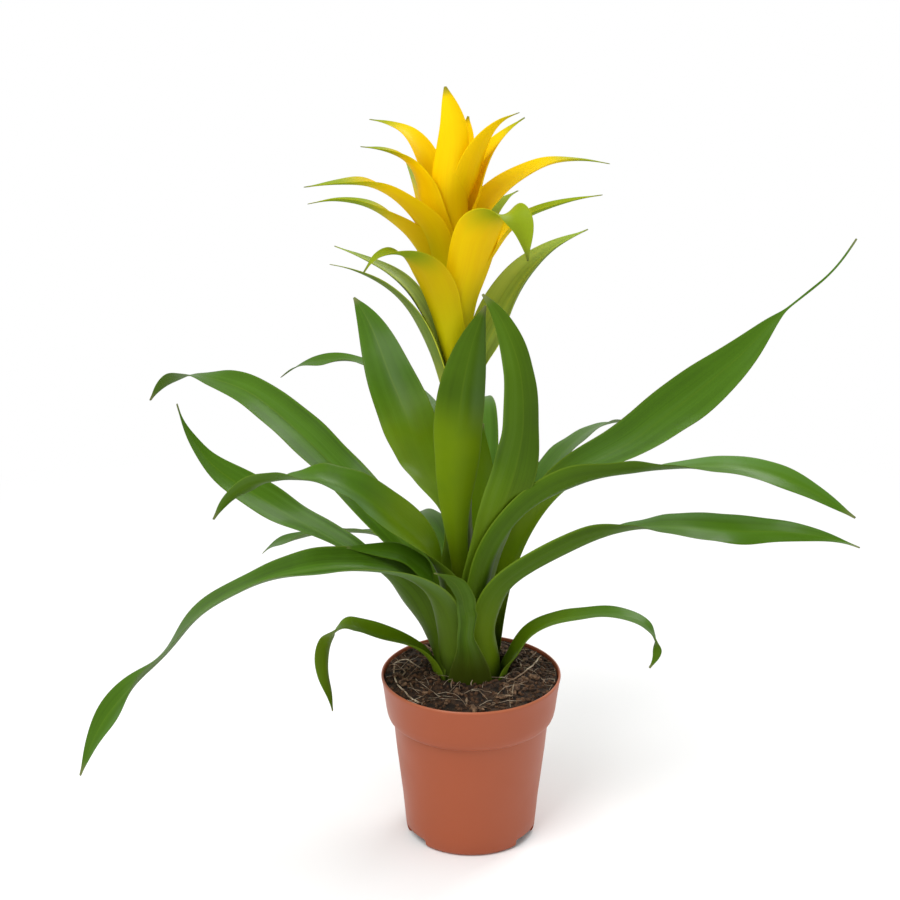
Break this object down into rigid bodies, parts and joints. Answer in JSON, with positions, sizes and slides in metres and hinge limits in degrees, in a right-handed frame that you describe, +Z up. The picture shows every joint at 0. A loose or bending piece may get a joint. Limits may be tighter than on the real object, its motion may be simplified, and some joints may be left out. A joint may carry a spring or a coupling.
{
  "type": "potted guzmania",
  "caption": "Potted bromeliad: arching strap leaves in a funnel and a tall yellow star of pointed bracts, in a plastic nursery pot.",
  "frame": {"origin": "centre of the pot's underside, on the surface it stands on", "axes": "+Z up along the pot's axis; -Y to the front, where the picture was taken from; +X to the viewer's right"},
  "size_m": [0.3937, 0.2507, 0.3829],
  "materials": {
    "pot": "satin, smooth moulded plastic",
    "potting_mix": "rough, crumbly, moist",
    "stem": "matt, fibrous",
    "leaf": "semi-gloss, finely veined along its length",
    "stem_bract": "semi-gloss",
    "flower_bract": "semi-gloss, slightly waxy"
  },
  "bodies": {
    "root": {"pot": "pot", "potting_mix": "potting_mix", "stem": "stem", "leaf_front_upright": "leaf", "leaf_back_upright": "leaf", "leaf_right_upright": "leaf", "leaf_back_thin": "leaf", "leaf_left_upright": "leaf", "leaf_right_long": "leaf", "leaf_left_high": "leaf", "leaf_right_arch": "leaf", "leaf_left_middle": "leaf", "leaf_back_right": "leaf", "leaf_front_short": "leaf", "leaf_back_left_thin": "leaf", "leaf_right_low": "leaf", "leaf_left_droop": "leaf", "leaf_back_arch": "leaf", "leaf_left_low": "leaf", "leaf_back_low": "leaf", "leaf_left_small": "leaf", "leaf_right_small": "leaf", "leaf_front_fold": "leaf", "stem_bract_right": "stem_bract", "stem_bract_left": "stem_bract", "stem_bract_back": "stem_bract", "stem_bract_upper_left": "stem_bract", "flower_bract_01": "flower_bract", "flower_bract_02": "flower_bract", "flower_bract_03": "flower_bract", "flower_bract_04": "flower_bract", "flower_bract_05": "flower_bract", "flower_bract_06": "flower_bract", "flower_bract_07": "flower_bract", "flower_bract_08": "flower_bract", "flower_bract_09": "flower_bract", "flower_bract_10": "flower_bract", "flower_bract_11": "flower_bract", "flower_bract_12": "flower_bract", "flower_bract_13": "flower_bract", "flower_bract_14": "flower_bract", "flower_bract_15": "flower_bract"}
  },
  "joints": []
}
